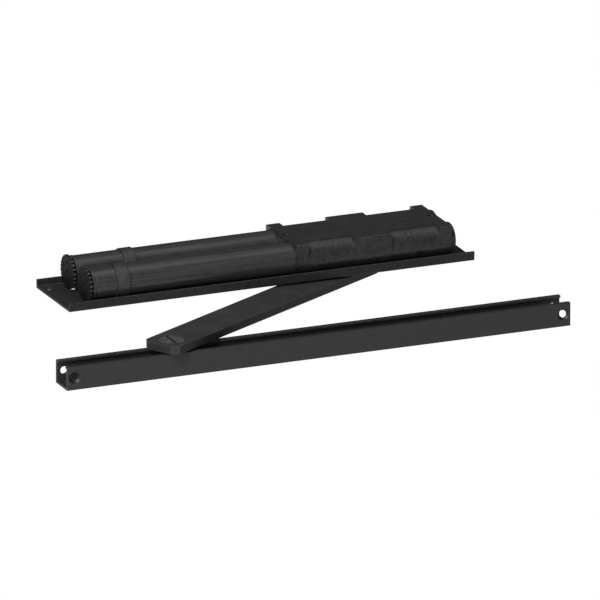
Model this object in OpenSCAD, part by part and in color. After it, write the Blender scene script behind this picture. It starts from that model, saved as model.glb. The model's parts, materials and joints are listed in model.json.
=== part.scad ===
// Overhead door closer that is concealed in the head of a door frame.
// A sheet-metal channel carries a two-barrel hydraulic casting and two spring tubes.
// A single lever arm under the channel ends in a roller that runs in the door's track.
// Frame: origin at the centre of the channel's underside, +X along the channel to the
// plugged end, +Y to the back, +Z up.

/* [Mounting channel] */
// Length of the mounting channel
channel_length = 440; // [436:1:450]
// Width over the two flanges
channel_width = 87.5; // [87:0.5:92]
// Height of the flanges above the underside
flange_height = 9.3; // [8:0.1:12]
// Thickness of the sheet
sheet = 2.3; // [1.8:0.1:2.3]
// Outer radius of the bends
bend_radius = 1.2; // [0.6:0.1:1.5]
// Spacing of the mounting holes along the channel
hole_spacing_x = 424.6; // [420:0.1:426]
// Spacing of the mounting holes across the channel
hole_spacing_y = 58.9; // [56:0.1:64]
// Diameter of the mounting holes
hole_diameter = 7.5; // [6:0.1:8]
// Diameter of the wiring hole beside the back spring tube
wiring_hole_diameter = 9.5; // [8:0.1:11]

/* [Spring tubes] */
// Distance of each tube's axis from the centre line
tube_offset = 21.7; // [21.6:0.1:22]
// Height of the tubes' axes above the underside
tube_height = 20.2; // [20.2:0.1:21]
// Outer diameter of the tubes
tube_diameter = 32; // [32:0.1:32.4]
// Wall thickness of the tubes
tube_wall = 1.8; // [1.5:0.1:1.8]
// Position of the tubes' open ends along the channel
tube_end_x = -191; // [-192:0.5:-190]
// Outer diameter of the collars on the tubes
collar_diameter = 34.5; // [34:0.1:35]
// Width of each collar
collar_width = 13.3; // [10:0.1:14]
// Where the front tube's collar starts
front_collar_x = -165.2; // [-170:0.1:-160]
// Where the back tube's collar starts
back_collar_x = -139; // [-145:0.1:-130]

/* [Adjusting caps] */
// Outer diameter of the notched rims
cap_diameter = 35.4; // [34.6:0.1:35.4]
// Thickness of the rims
rim_width = 2.4; // [2.2:0.1:3]
// Number of notches round each rim
notch_count = 24; // [18:1:30]
// Number of spanner holes in each face
spanner_hole_count = 6; // [4:1:8]
// Pitch of the adjusting screws' threads
screw_pitch = 2; // [1.5:0.25:2]

/* [Casting] */
// Where the casting starts along the channel
casting_x = 27.5; // [27:0.5:29]
// Length of the casting
casting_length = 169.5; // [168:0.5:170]
// Outer diameter of the barrels
barrel_diameter = 34.4; // [34.2:0.1:34.6]
// Bore of the barrels
bore_diameter = 28.1; // [28.1:0.01:28.12]
// Height of the flat top above the underside
casting_top = 37.7; // [37.7:0.1:38.4]
// Width of the flat top between the ears
top_width = 55; // [52:0.5:58]
// Width over the ears
ear_width = 78.4; // [77:0.1:79]

/* [Pinion and racks] */
// Position of the pinion's axis along the channel
pinion_x = 112; // [111:0.5:113]
// Number of teeth on the pinion
pinion_teeth = 14; // [12:1:15]
// Module of the teeth
tooth_module = 1.75; // [1.7:0.05:1.75]
// Pressure angle of the teeth
pressure_angle = 25; // [24:0.5:26]
// Play between a tooth and its gap
backlash = 0.2; // [0.15:0.01:0.25]
// Angle from the closed position to the modelled one
rest_angle = 30.3; // [20:0.1:40]

/* [Arm] */
// Distance from the pinion's axis to the stud's axis
arm_centres = 312.4; // [300:0.1:320]
// Width of the arm
arm_width = 42; // [38:0.5:44]
// Thickness of the arm
arm_thickness = 8; // [8:0.1:8.2]
// Gap between the channel and the arm
arm_gap = 2; // [1.8:0.1:2]
// Length of the arm beyond the stud's axis
arm_overhang = 19.5; // [16:0.1:22]
// Chamfer of the two corners at the stud's end
arm_corner = 6; // [2:0.5:8]
// Diameter of the stud's slotted head
stud_head_diameter = 26; // [24:0.5:27]

/* [Track and roller] */
// Length of the track
track_length = 545; // [540:1:560]
// Width of the track
track_width = 30; // [30:0.1:32]
// Height of the track
track_height = 24.5; // [24.5:0.1:26]
// Wall thickness of the track
track_wall = 2.5; // [2:0.1:2.5]
// Width of the slot between the track's lips
slot_width = 20; // [18:0.5:21]
// Gap between the arm and the track
track_gap = 2.3; // [2.2:0.1:2.6]
// Length of track between its left end and the roller
track_lead = 118.2; // [100:0.1:130]
// Diameter of the track's screw holes
track_hole_diameter = 8; // [6:0.1:8]
// Diameter of the countersinks in the front wall
countersink_diameter = 12.5; // [10:0.1:13]
// Diameter of the roller
roller_diameter = 23.5; // [22:0.1:24]

/* [Springs] */
// Diameter of the spring wire
wire_diameter = 4.4; // [4:0.1:4.6]
// Number of turns in each spring
spring_turns = 18; // [12:1:20]

/* [Hidden] */
$fn = 64;
cut = 0.5;          // how far a cutting shape runs past the face that it opens
fit = 0.05;         // radial clearance of running fits

black = [0.07, 0.07, 0.075];
dark_steel = [0.25, 0.25, 0.26];
steel = [0.62, 0.62, 0.64];
bronze = [0.66, 0.5, 0.27];
rubber = [0.03, 0.03, 0.03];

front = -1;
back = 1;

tube_r = tube_diameter / 2;
tube_inner_r = tube_r - tube_wall;
barrel_r = barrel_diameter / 2;
bore_r = bore_diameter / 2;
socket_depth = 14;
casting_end = casting_x + casting_length;
tube_length = casting_x + socket_depth - tube_end_x;
wiring_hole_x = -189.8;
wiring_hole_y = 22.9;
piston_r = bore_r - fit;

pitch_r = tooth_module * pinion_teeth / 2;
tip_r = pitch_r + tooth_module;
root_r = pitch_r - 1.25 * tooth_module;
base_r = pitch_r * cos(pressure_angle);
face_width = 16.8;
pinion_z = tube_height - face_width / 2;
travel_at_rest = pitch_r * rest_angle * PI / 180;
rack_travel = 26;
journal_r = 8;
square_drive = 11;

// Stations along a barrel when the door is closed
rack_half = rack_travel + sqrt(tip_r * tip_r - pow(tube_offset - bore_r, 2)) + 1;
piston_left = pinion_x - rack_half - 5;
piston_right = pinion_x + rack_half + 12;
stop_x = 38;
stop_width = 1.6;
plunger_width = 6;
nose_r = 9;
seal_width = 3;
plug_x = casting_end - 5;
seal_ring_r = 13.1;

// Stations along a spring tube
rim_gap = 2.3;
rim_x = tube_end_x - rim_gap - rim_width;
cap_hub_r = 13;
bulkhead_x = tube_end_x + 4;
bulkhead_width = 6;
screw_collar_width = 3;
seat_x = tube_end_x + 18.5;
seat_width = 6;
spigot_r = 8;
spigot_length = 8;
screw_r = 4;
screw_end_x = seat_x + 22;

arm_top = -arm_gap;
arm_bottom = arm_top - arm_thickness;
arm_direction = 180 + rest_angle;
stud_x = pinion_x + arm_centres * cos(arm_direction);
stud_y = arm_centres * sin(arm_direction);
stud_head_depth = 3;
stud_slot_width = 2;
stud_slot_depth = 2.2;
track_top = arm_bottom - track_gap;
track_bottom = track_top - track_height;
track_left = stud_x - track_lead;
hole_inset = 8;
track_hole_z = track_top - 11.7;
stud_journal_r = 5;
bush_r = 7;
roller_top = track_top - track_wall - 2.2;
roller_height = 14;
roller_bottom = roller_top - roller_height;
flange_width = 0.6;
flange_top = roller_top + flange_width;
clip_width = 1;
clip_z = roller_bottom - 1.6;
clip_groove_r = 4.2;
stud_end = roller_bottom - 2.4;

casting_screws = [casting_x + 6, casting_end - 5];

// A solid round bar along X
module bar(x, length, r, chamfer = 0) {
    translate([x, 0, 0]) rotate([0, 90, 0]) {
        cylinder(h = length - chamfer, r = r);
        if (chamfer > 0)
            translate([0, 0, length - chamfer])
                cylinder(h = chamfer, r1 = r, r2 = r - chamfer);
    }
}

// A hollow round bar along X
module sleeve(x, length, r, inner_r) {
    difference() {
        bar(x, length, r);
        bar(x - cut, length + 2 * cut, inner_r);
    }
}

// Moves its children onto the axis of the front or back tube
module on_tube_axis(side) {
    translate([0, side * tube_offset, tube_height]) children();
}

// Extrudes an outline drawn in Y and Z along X
module section(x, length) {
    translate([x, 0, 0]) rotate([90, 0, 90]) linear_extrude(length) children();
}

// A straight-sided outline with its two lower corners rounded
module round_footed(width, height, r) {
    translate([-width / 2 + r, 0]) square([width - 2 * r, height]);
    translate([-width / 2, r]) square([width, height - r]);
    for (side = [-1, 1])
        translate([side * (width / 2 - r), r]) circle(r);
}

module hexagon_hole(x, y, z, depth, flats) {
    translate([x, y, z]) cylinder(h = depth, d = flats / cos(30), $fn = 6);
}

module mounting_channel() {
    inner = channel_width - 2 * sheet;
    color(black) difference() {
        section(-channel_length / 2, channel_length) difference() {
            round_footed(channel_width, flange_height, bend_radius);
            translate([0, sheet]) round_footed(inner, flange_height, bend_radius);
        }
        for (x = [-1, 1], y = [-1, 1])
            translate([x * hole_spacing_x / 2, y * hole_spacing_y / 2, -cut])
                cylinder(h = sheet + 2 * cut, d = hole_diameter);
        translate([wiring_hole_x, wiring_hole_y, -cut])
            cylinder(h = sheet + 2 * cut, d = wiring_hole_diameter);
        translate([pinion_x, 0, -cut]) cylinder(h = sheet + 2 * cut, r = 16);
        for (x = casting_screws)
            translate([x, 0, -cut]) cylinder(h = sheet + 2 * cut, r = 2.55);
    }
}

// Outline of one pair of ears: square shoulders with small corner radii
module ear_outline(lowest) {
    corner = 2;
    half = ear_width / 2;
    translate([-half, lowest]) square([ear_width, casting_top - corner - lowest]);
    translate([-half + corner, lowest])
        square([ear_width - 2 * corner, casting_top - lowest]);
    for (side = [-1, 1])
        translate([side * (half - corner), casting_top - corner]) circle(corner);
}

module casting_body() {
    for (side = [front, back])
        on_tube_axis(side) bar(casting_x, casting_length, barrel_r);
    // The flat top and the web between the barrels
    section(casting_x, casting_length) {
        translate([-top_width / 2, tube_height]) square([top_width, casting_top - tube_height]);
        translate([-tube_offset, 5]) square([2 * tube_offset, casting_top - 5]);
    }
    // End ears have a crisp lower edge, the middle pair blends into the barrels
    section(casting_x, socket_depth) ear_outline(18.6);
    section(casting_end - 12.5, 12.5) ear_outline(18.6);
    section(pinion_x - 20, 40) {
        ear_outline(tube_height);
        for (side = [-1, 1])
            translate([side * tube_offset, tube_height]) circle(ear_width / 2 - tube_offset);
    }
    // Feet that stand on the channel's floor
    section(casting_x, socket_depth) translate([-12, sheet]) square([24, 8]);
    section(casting_end - 14, 14) translate([-12, sheet]) square([24, 8]);
    translate([pinion_x, 0, sheet]) cylinder(h = 7, r = 19);
}

module housing() {
    color(black) difference() {
        casting_body();
        for (side = [front, back]) on_tube_axis(side) {
            bar(casting_x - cut, casting_length + 2 * cut, bore_r);
            bar(casting_x - cut, socket_depth + cut, tube_r + 0.02);
        }
        // Pinion cavity, the carrier's thread and the upper bearing's pocket
        translate([pinion_x, 0, sheet]) cylinder(h = 26.7, r = tip_r + 0.6);
        translate([pinion_x, 0, sheet - cut]) cylinder(h = 5.2 + cut, r = 15.02);
        translate([pinion_x, 0, 28]) cylinder(h = 7.3, r = 11);
        for (x = casting_screws) {
            translate([x, 0, casting_top - 5.3]) cylinder(h = 6, r = 4.1);
            translate([x, 0, 0]) cylinder(h = casting_top, r = 2.6);
        }
    }
}

module housing_screws() {
    seat_z = casting_top - 5.3;
    color(dark_steel) for (x = casting_screws) difference() {
        union() {
            translate([x, 0, seat_z]) cylinder(h = 4.4, r = 3.8);
            translate([x, 0, 0.3]) cylinder(h = seat_z, r = 2.5);
        }
        hexagon_hole(x, 0, seat_z + 1.6, 4, 4);
    }
}

module spring_tube(side) {
    color(black) on_tube_axis(side) sleeve(tube_end_x, tube_length, tube_r, tube_inner_r);
}

module tube_collar(side, x) {
    chamfer = 0.5;
    color(black) on_tube_axis(side) difference() {
        bar(x, collar_width, collar_diameter / 2, chamfer);
        bar(x - cut, collar_width + 2 * cut, tube_r);
    }
}

module tube_ring(side) {
    color(black) on_tube_axis(side) sleeve(tube_end_x, 2.4, tube_r + 0.35, tube_r);
}

// Bulkhead in the tube's end that takes the spring's thrust
module tube_bulkhead(side) {
    color(steel) on_tube_axis(side)
        sleeve(bulkhead_x, bulkhead_width, tube_inner_r, screw_r + fit);
}

module adjusting_cap(side) {
    rim_r = cap_diameter / 2;
    color(black) on_tube_axis(side) difference() {
        union() {
            bar(rim_x, rim_width, rim_r);
            bar(rim_x + cut, tube_end_x - rim_x - cut - 0.2, cap_hub_r);
            bar(tube_end_x - 1, 4, tube_inner_r - 0.2);
        }
        for (i = [0 : notch_count - 1])
            rotate([i * 360 / notch_count, 0, 0])
                translate([0, 0, rim_r + 0.3]) bar(rim_x - cut, rim_width + 2 * cut, 1.4);
        for (i = [0 : spanner_hole_count - 1])
            rotate([i * 360 / spanner_hole_count, 0, 0])
                translate([0, 0, 9.5]) bar(rim_x - cut, 2 + cut, 1.6);
        bar(rim_x - cut, 2 + cut, 2.6);
        bar(rim_x + 2, tube_end_x - rim_x + 4, screw_r);
    }
}

module adjusting_screw(side) {
    collar_x = bulkhead_x + bulkhead_width + 0.1;
    color(steel) on_tube_axis(side) {
        bar(rim_x + 2.02, screw_end_x - rim_x - 2, screw_r, 0.5);
        bar(collar_x, screw_collar_width, 7);
    }
}

module spring_seat(side) {
    color(steel) on_tube_axis(side) difference() {
        union() {
            bar(seat_x, seat_width, tube_inner_r - 0.3);
            bar(seat_x + cut, seat_width + spigot_length - cut, spigot_r, 1);
        }
        bar(seat_x - cut, 30, screw_r + fit);
    }
}

// One coil spring along X, with a closed turn at each end
coil_steps = 12;
wire_sides = 6;
coil_r = 11;
function coil_x(turn, turns, length, wire) =
    let (closed = wire * 1.05, pitch = (length - wire - 2 * closed) / (turns - 2))
    turn < 1 ? turn * closed
    : turn > turns - 1 ? closed + (turns - 2) * pitch + (turn - turns + 1) * closed
    : closed + (turn - 1) * pitch;

module coil_spring(x, length) {
    steps = spring_turns * coil_steps;
    wire_r = wire_diameter / 2;
    points = [
        for (i = [0 : steps], j = [0 : wire_sides - 1])
            let (
                angle = i * 360 / coil_steps,
                corner = j * 360 / wire_sides,
                r = coil_r + wire_r * cos(corner)
            )
            [
                x + wire_r + coil_x(i / coil_steps, spring_turns, length, wire_diameter)
                    + wire_r * sin(corner),
                r * cos(angle),
                r * sin(angle),
            ]
    ];
    sides = [
        for (i = [0 : steps - 1], j = [0 : wire_sides - 1])
            let (k = (j + 1) % wire_sides, a = i * wire_sides, b = a + wire_sides)
            [a + j, b + j, b + k, a + k]
    ];
    first = [for (j = [0 : wire_sides - 1]) j];
    last = [for (j = [wire_sides - 1 : -1 : 0]) steps * wire_sides + j];
    polyhedron(points, concat([first], sides, [last]), convexity = 20);
}

spring_x = seat_x + seat_width + 0.1;

module front_spring() {
    color(steel) on_tube_axis(front)
        coil_spring(spring_x, stop_x - plunger_width - spring_x - 0.1);
}

module back_spring() {
    color(steel) on_tube_axis(back)
        coil_spring(spring_x, stop_x - plunger_width - travel_at_rest - spring_x - 0.1);
}

// Plunger between a spring and its piston; shift moves it from its closed place
module plunger(side, shift) {
    color(steel) on_tube_axis(side) translate([shift, 0, 0]) {
        bar(stop_x - plunger_width, plunger_width, tube_inner_r - 0.3);
        mirror([1, 0, 0])
            bar(plunger_width - stop_x - cut, spigot_length + cut, spigot_r, 1);
    }
}

// Ring that holds a plunger, and so a spring, at the closed position
module plunger_stop(side) {
    color(dark_steel) on_tube_axis(side)
        sleeve(stop_x + 0.1, stop_width, tube_inner_r, 10.5);
}

// Outline of a rack's gaps. One gap is centred on the pinion in the modelled position.
module rack_gaps(side, shift) {
    pitch = PI * tooth_module;
    half_gap = pitch / 4 + backlash / 4;
    slope = tan(pressure_angle);
    deep = 1.25 * tooth_module;
    high = tooth_module + 0.1;
    reach = rack_half - pitch / 2;
    for (i = [ceil((shift - reach) / pitch) : floor((shift + reach) / pitch)])
        translate([pinion_x + i * pitch, side * pitch_r]) polygon([
            [-half_gap + deep * slope, side * deep], [half_gap - deep * slope, side * deep],
            [half_gap + high * slope, -side * high], [-half_gap - high * slope, -side * high],
        ]);
}

// Rack piston with its nose; shift moves it from its closed place
module rack_piston(side, shift) {
    rack_tips = pitch_r - tooth_module;
    groove_x = piston_right - 9;
    color(steel) difference() {
        on_tube_axis(side) translate([shift, 0, 0]) {
            bar(piston_left, piston_right - piston_left, piston_r);
            bar(stop_x + 0.1, piston_left - stop_x, nose_r);
        }
        translate([pinion_x + shift - rack_half, -rack_tips, tube_height - 20])
            cube([2 * rack_half, 2 * rack_tips, 40]);
        translate([0, 0, tube_height - 20]) linear_extrude(40) rack_gaps(side, shift);
        on_tube_axis(side) translate([shift, 0, 0]) {
            sleeve(groove_x, seal_width, piston_r + cut, piston_r - 2);
            bar(piston_right - 8, 8 + cut, 2.5);
        }
    }
}

module piston_seal(side, shift) {
    color(rubber) on_tube_axis(side)
        sleeve(piston_right - 9 + shift, seal_width, bore_r - 0.02, piston_r - 2);
}

// Ball-and-seat insert in the piston's head
module check_valve(side, shift) {
    color(bronze) on_tube_axis(side)
        sleeve(piston_right - 7.9 + shift, 7.6, 2.5, 0.8);
}

module end_plug(side) {
    flange = 6;
    flange_r = 15.75;
    round = 2;
    color(black) on_tube_axis(side) difference() {
        union() {
            translate([casting_end, 0, 0]) rotate([0, 90, 0]) {
                rotate_extrude() {
                    square([flange_r - round, flange]);
                    square([flange_r, flange - round]);
                    intersection() {
                        translate([flange_r - round, flange - round]) circle(round);
                        square([flange_r + cut, flange + cut]);
                    }
                }
            }
            bar(plug_x, casting_end - plug_x + cut, piston_r);
        }
        sleeve(plug_x + 1.4, 1.9, piston_r + cut, seal_ring_r - 0.9);
        bar(plug_x - cut, 20, 3);
        bar(casting_end + flange - 1.5, 5, 5);
    }
}

module end_plug_seals() {
    color(rubber) for (side = [front, back])
        on_tube_axis(side) translate([plug_x + 2.35, 0, 0]) rotate([0, 90, 0])
            rotate_extrude() translate([seal_ring_r, 0]) circle(0.9);
}

// Needle screw in the middle of an end plug
module regulating_valve(side) {
    color(steel) on_tube_axis(side) difference() {
        union() {
            bar(plug_x + 1, 9, 3);
            translate([plug_x - 0.9, 0, 0]) rotate([0, 90, 0]) cylinder(h = 2, r1 = 0.5, r2 = 2);
        }
        translate([plug_x + 7.5, 0, 0]) rotate([0, 90, 0])
            cylinder(h = 4, d = 3 / cos(30), $fn = 6);
    }
}

// Half the angle that a tooth takes up at radius r
function involute(angle) = tan(angle) * 180 / PI - angle;
function half_tooth(r) =
    (PI * tooth_module - backlash) / (4 * pitch_r) * 180 / PI
    + involute(pressure_angle) - involute(acos(base_r / r));
function polar(r, angle) = [r * cos(angle), r * sin(angle)];

module pinion_outline() {
    flank = 5;
    radii = [for (i = [0 : flank]) base_r + (tip_r - base_r) * i / flank];
    root_half = half_tooth(base_r);
    polygon([
        for (k = [0 : pinion_teeth - 1])
            let (middle = 90 + k * 360 / pinion_teeth)
            each concat(
                [polar(root_r, middle - root_half)],
                [for (r = radii) polar(r, middle - half_tooth(r))],
                [for (i = [flank : -1 : 0]) polar(radii[i], middle + half_tooth(radii[i]))],
                [polar(root_r, middle + root_half)]
            )
    ]);
}

module pinion_shaft() {
    color(steel) translate([pinion_x, 0, 0]) difference() {
        union() {
            translate([0, 0, pinion_z]) linear_extrude(face_width) pinion_outline();
            translate([0, 0, arm_top]) cylinder(h = 34.9 - arm_top, r = journal_r);
            rotate(arm_direction)
                translate([-square_drive / 2, -square_drive / 2, arm_top - 5])
                    cube([square_drive, square_drive, 5 + cut]);
        }
        translate([0, 0, arm_bottom]) cylinder(h = 16, r = 3);
    }
}

module upper_bearing() {
    color(bronze) translate([pinion_x, 0, 29.2]) difference() {
        cylinder(h = 6, r = 11);
        translate([0, 0, -cut]) cylinder(h = 6 + 2 * cut, r = journal_r + fit);
    }
}

module lower_bearing() {
    color(bronze) translate([pinion_x, 0, 4.8]) difference() {
        cylinder(h = 6.2, r = 9.5);
        translate([0, 0, -cut]) cylinder(h = 6.2 + 2 * cut, r = journal_r + fit);
    }
}

// Threaded plug under the pinion that holds the lower bearing and the seal
module bearing_carrier() {
    color(dark_steel) translate([pinion_x, 0, 0]) difference() {
        union() {
            translate([0, 0, 0.3]) cylinder(h = 7.2, r = 15);
            translate([0, 0, 7]) cylinder(h = 4, r = 10.8);
        }
        translate([0, 0, 4.8]) cylinder(h = 7, r = 9.5);
        cylinder(h = 4.8, r = 11);
        for (side = [-1, 1]) translate([side * 13, 0, 0]) cylinder(h = 3, r = 1.2);
    }
}

module shaft_seal() {
    color(rubber) translate([pinion_x, 0, 0.7]) difference() {
        cylinder(h = 4, r = 11);
        translate([0, 0, -cut]) cylinder(h = 4 + 2 * cut, r = journal_r + 0.03);
    }
}

// Outline of the arm, from the pinion's axis along X
module arm_outline() {
    end = arm_centres + arm_overhang;
    half = arm_width / 2;
    circle(half);
    polygon([
        [0, -half], [end - arm_corner, -half], [end, arm_corner - half],
        [end, half - arm_corner], [end - arm_corner, half], [0, half],
    ]);
}

module arm() {
    half = square_drive / 2 + 0.02;
    color(black) difference() {
        translate([pinion_x, 0, arm_bottom]) rotate(arm_direction)
            linear_extrude(arm_thickness) arm_outline();
        translate([pinion_x, 0, arm_bottom - cut]) {
            rotate(arm_direction) translate([-half, -half, 0])
                cube([2 * half, 2 * half, arm_thickness + 2 * cut]);
            cylinder(h = 2.6 + cut, r = 9);
        }
        translate([stud_x, stud_y, arm_bottom - cut]) {
            cylinder(h = arm_thickness + 2 * cut, r = 6);
            translate([0, 0, arm_thickness + cut - stud_head_depth])
                cylinder(h = stud_head_depth + cut, d = stud_head_diameter + 0.3);
        }
    }
}

module arm_screw() {
    color(dark_steel) translate([pinion_x, 0, arm_bottom]) difference() {
        union() {
            translate([0, 0, 0.3]) cylinder(h = 2.3, r = 8.7);
            translate([0, 0, 1]) cylinder(h = 13, r = 3);
        }
        translate([0, 0, -cut]) cylinder(h = 2.2 + cut, d = 5 / cos(30), $fn = 6);
    }
}

// Stud with a slotted head set into the arm; the roller turns on its journal
module roller_stud() {
    head_z = arm_top - stud_head_depth;
    color([0.32, 0.32, 0.33]) translate([stud_x, stud_y, 0]) difference() {
        union() {
            translate([0, 0, head_z])
                cylinder(h = stud_head_depth - 0.5, d = stud_head_diameter);
            translate([0, 0, arm_top - 0.5])
                cylinder(h = 0.4, d1 = stud_head_diameter, d2 = stud_head_diameter - 0.8);
            translate([0, 0, arm_bottom]) cylinder(h = head_z - arm_bottom + cut, r = 6);
            translate([0, 0, flange_top + 0.1]) cylinder(h = arm_bottom - flange_top - 0.1, r = 8);
            translate([0, 0, stud_end]) cylinder(h = flange_top - stud_end + cut, r = stud_journal_r);
        }
        translate([-stud_slot_width / 2, -stud_head_diameter, arm_top - stud_slot_depth])
            cube([stud_slot_width, 2 * stud_head_diameter, 3]);
        translate([0, 0, clip_z]) difference() {
            cylinder(h = clip_width, r = 7);
            translate([0, 0, -cut]) cylinder(h = clip_width + 2 * cut, r = clip_groove_r);
        }
    }
}

module stud_clip() {
    color(steel) translate([stud_x, stud_y, clip_z]) difference() {
        cylinder(h = clip_width, r = 7.4);
        translate([0, 0, -cut]) cylinder(h = clip_width + 2 * cut, r = clip_groove_r);
        translate([0, -clip_groove_r, -cut]) cube([10, 2 * clip_groove_r, clip_width + 2 * cut]);
    }
}

// Flanged bush between the stud and the roller
module roller_bush() {
    color(bronze) translate([stud_x, stud_y, 0]) difference() {
        union() {
            translate([0, 0, roller_top]) cylinder(h = flange_width, r = 9);
            translate([0, 0, roller_bottom - 0.2])
                cylinder(h = roller_height + 0.2 + cut, r = bush_r);
        }
        translate([0, 0, roller_bottom - 1])
            cylinder(h = roller_height + 4, r = stud_journal_r + fit);
    }
}

module roller() {
    r = roller_diameter / 2;
    chamfer = 0.8;
    bottom = roller_bottom;
    height = roller_height - 0.1;
    color([0.12, 0.12, 0.12]) translate([stud_x, stud_y, bottom]) difference() {
        union() {
            cylinder(h = chamfer, r1 = r - chamfer, r2 = r);
            translate([0, 0, chamfer]) cylinder(h = height - 2 * chamfer, r = r);
            translate([0, 0, height - chamfer]) cylinder(h = chamfer, r1 = r, r2 = r - chamfer);
        }
        translate([0, 0, -cut]) cylinder(h = roller_height + 2 * cut, r = bush_r + fit);
    }
}

// Outline of the track, open at the top between its two lips
module track_outline() {
    inner = track_width - 2 * track_wall;
    difference() {
        square([track_width, track_height]);
        translate([track_wall, track_wall]) square([inner, track_height - 2 * track_wall]);
        translate([(track_width - slot_width) / 2, track_wall])
            square([slot_width, track_height]);
    }
}

module track() {
    front_y = stud_y - track_width / 2;
    depth = track_wall - 0.25;
    color(black) difference() {
        translate([0, front_y, track_bottom]) section(track_left, track_length) track_outline();
        for (x = [track_left + hole_inset, track_left + track_length - hole_inset])
            translate([x, front_y, track_hole_z]) rotate([-90, 0, 0]) {
                translate([0, 0, -cut]) cylinder(h = track_width + 2 * cut, d = track_hole_diameter);
                cylinder(h = depth, d1 = countersink_diameter, d2 = track_hole_diameter);
                translate([0, 0, -cut]) cylinder(h = cut + 0.01, d = countersink_diameter);
            }
    }
}

mounting_channel();
housing();
housing_screws();
spring_tube(front);  // front_spring_tube
spring_tube(back);  // back_spring_tube
tube_collar(front, front_collar_x);  // front_tube_collar
tube_collar(back, back_collar_x);  // back_tube_collar
tube_ring(front);  // front_tube_ring
tube_ring(back);  // back_tube_ring
tube_bulkhead(front);  // front_tube_bulkhead
tube_bulkhead(back);  // back_tube_bulkhead
adjusting_cap(front);  // front_adjusting_cap
adjusting_cap(back);  // back_adjusting_cap
adjusting_screw(front);  // front_adjusting_screw
adjusting_screw(back);  // back_adjusting_screw
spring_seat(front);  // front_spring_seat
spring_seat(back);  // back_spring_seat
front_spring();
back_spring();
plunger(front, 0);  // front_plunger
plunger(back, -travel_at_rest);  // back_plunger
plunger_stop(front);  // front_plunger_stop
plunger_stop(back);  // back_plunger_stop
rack_piston(front, travel_at_rest);  // front_piston
rack_piston(back, -travel_at_rest);  // back_piston
piston_seal(front, travel_at_rest);  // front_piston_seal
piston_seal(back, -travel_at_rest);  // back_piston_seal
check_valve(front, travel_at_rest);  // front_check_valve
check_valve(back, -travel_at_rest);  // back_check_valve
end_plug(front);  // front_end_plug
end_plug(back);  // back_end_plug
end_plug_seals();
regulating_valve(front);  // closing_speed_valve
regulating_valve(back);  // latching_speed_valve
pinion_shaft();
upper_bearing();
lower_bearing();
bearing_carrier();
shaft_seal();
arm();
arm_screw();
roller_stud();
roller_bush();
roller();
stud_clip();
track();
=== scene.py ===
import json
import math

import bmesh
import bpy
from mathutils import Matrix, Vector


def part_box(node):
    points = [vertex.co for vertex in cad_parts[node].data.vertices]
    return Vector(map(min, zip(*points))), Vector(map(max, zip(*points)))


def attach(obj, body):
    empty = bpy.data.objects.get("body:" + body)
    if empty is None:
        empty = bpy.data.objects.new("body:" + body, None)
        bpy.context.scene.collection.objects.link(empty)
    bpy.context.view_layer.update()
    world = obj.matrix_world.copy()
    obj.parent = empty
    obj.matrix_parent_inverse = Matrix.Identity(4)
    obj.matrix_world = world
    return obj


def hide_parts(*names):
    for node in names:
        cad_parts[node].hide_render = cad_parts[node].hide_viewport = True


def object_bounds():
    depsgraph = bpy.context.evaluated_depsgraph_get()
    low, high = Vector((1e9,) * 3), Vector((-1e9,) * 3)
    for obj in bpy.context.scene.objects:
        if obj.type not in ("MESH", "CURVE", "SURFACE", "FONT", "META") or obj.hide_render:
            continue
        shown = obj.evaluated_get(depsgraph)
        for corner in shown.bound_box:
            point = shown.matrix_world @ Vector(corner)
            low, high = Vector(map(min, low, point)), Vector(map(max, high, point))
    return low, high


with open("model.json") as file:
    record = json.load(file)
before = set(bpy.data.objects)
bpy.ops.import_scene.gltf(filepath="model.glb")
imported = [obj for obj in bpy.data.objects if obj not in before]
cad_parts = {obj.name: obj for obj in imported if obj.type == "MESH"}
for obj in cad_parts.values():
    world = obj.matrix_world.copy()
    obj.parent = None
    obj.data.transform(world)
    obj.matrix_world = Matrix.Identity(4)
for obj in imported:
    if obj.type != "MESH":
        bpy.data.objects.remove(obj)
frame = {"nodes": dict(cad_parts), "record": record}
cadBox = [list(corner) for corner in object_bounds()]

# Shapes are written in millimetres and scaled to metres as each piece is finished.
mm = 0.001
turn = 2 * math.pi
past = 1              # how far a cutter reaches beyond the face that it opens
near = 0.1            # how far a mark reaches beyond its own faces
holeSteps = 48        # sides of a small hole or screw
boreSteps = 96        # sides of a bore or bearing
tubeSteps = 128       # sides of a tube or barrel
smoothAngle = 35      # degrees; sharper edges stay sharp


def placeOf(node):
    low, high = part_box(node)
    return Vector(low) / mm, Vector(high) / mm


def middleOf(node):
    low, high = placeOf(node)
    return (low + high) / 2


# mesh helpers

def cleaned(bm, distance=0.002):
    bmesh.ops.remove_doubles(bm, verts=bm.verts, dist=distance)
    bmesh.ops.dissolve_degenerate(bm, edges=bm.edges, dist=distance)
    bmesh.ops.recalc_face_normals(bm, faces=bm.faces)
    return bm


def lathe(profile, axis="X", centre=(0, 0, 0), steps=boreSteps, closed=False):
    # profile is (distance along the axis, radius)
    bm = bmesh.new()
    if axis == "X":
        points = [bm.verts.new((along, 0, radius)) for along, radius in profile]
    else:
        points = [bm.verts.new((radius, 0, along)) for along, radius in profile]
    for first, second in zip(points, points[1:]):
        bm.edges.new((first, second))
    if closed:
        bm.edges.new((points[-1], points[0]))
    axisVector = (1, 0, 0) if axis == "X" else (0, 0, 1)
    bmesh.ops.spin(bm, geom=bm.verts[:] + bm.edges[:], cent=(0, 0, 0), axis=axisVector,
                   angle=turn, steps=steps, use_merge=True)
    bmesh.ops.translate(bm, vec=centre, verts=bm.verts)
    return cleaned(bm)


def ringProfile(start, end, outer, inner):
    return [(start, inner), (start, outer), (end, outer), (end, inner)]


def rod(start, end, radius, axis="X", centre=(0, 0, 0), steps=holeSteps):
    return lathe([(start, 0), (start, radius), (end, radius), (end, 0)], axis, centre, steps)


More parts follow.
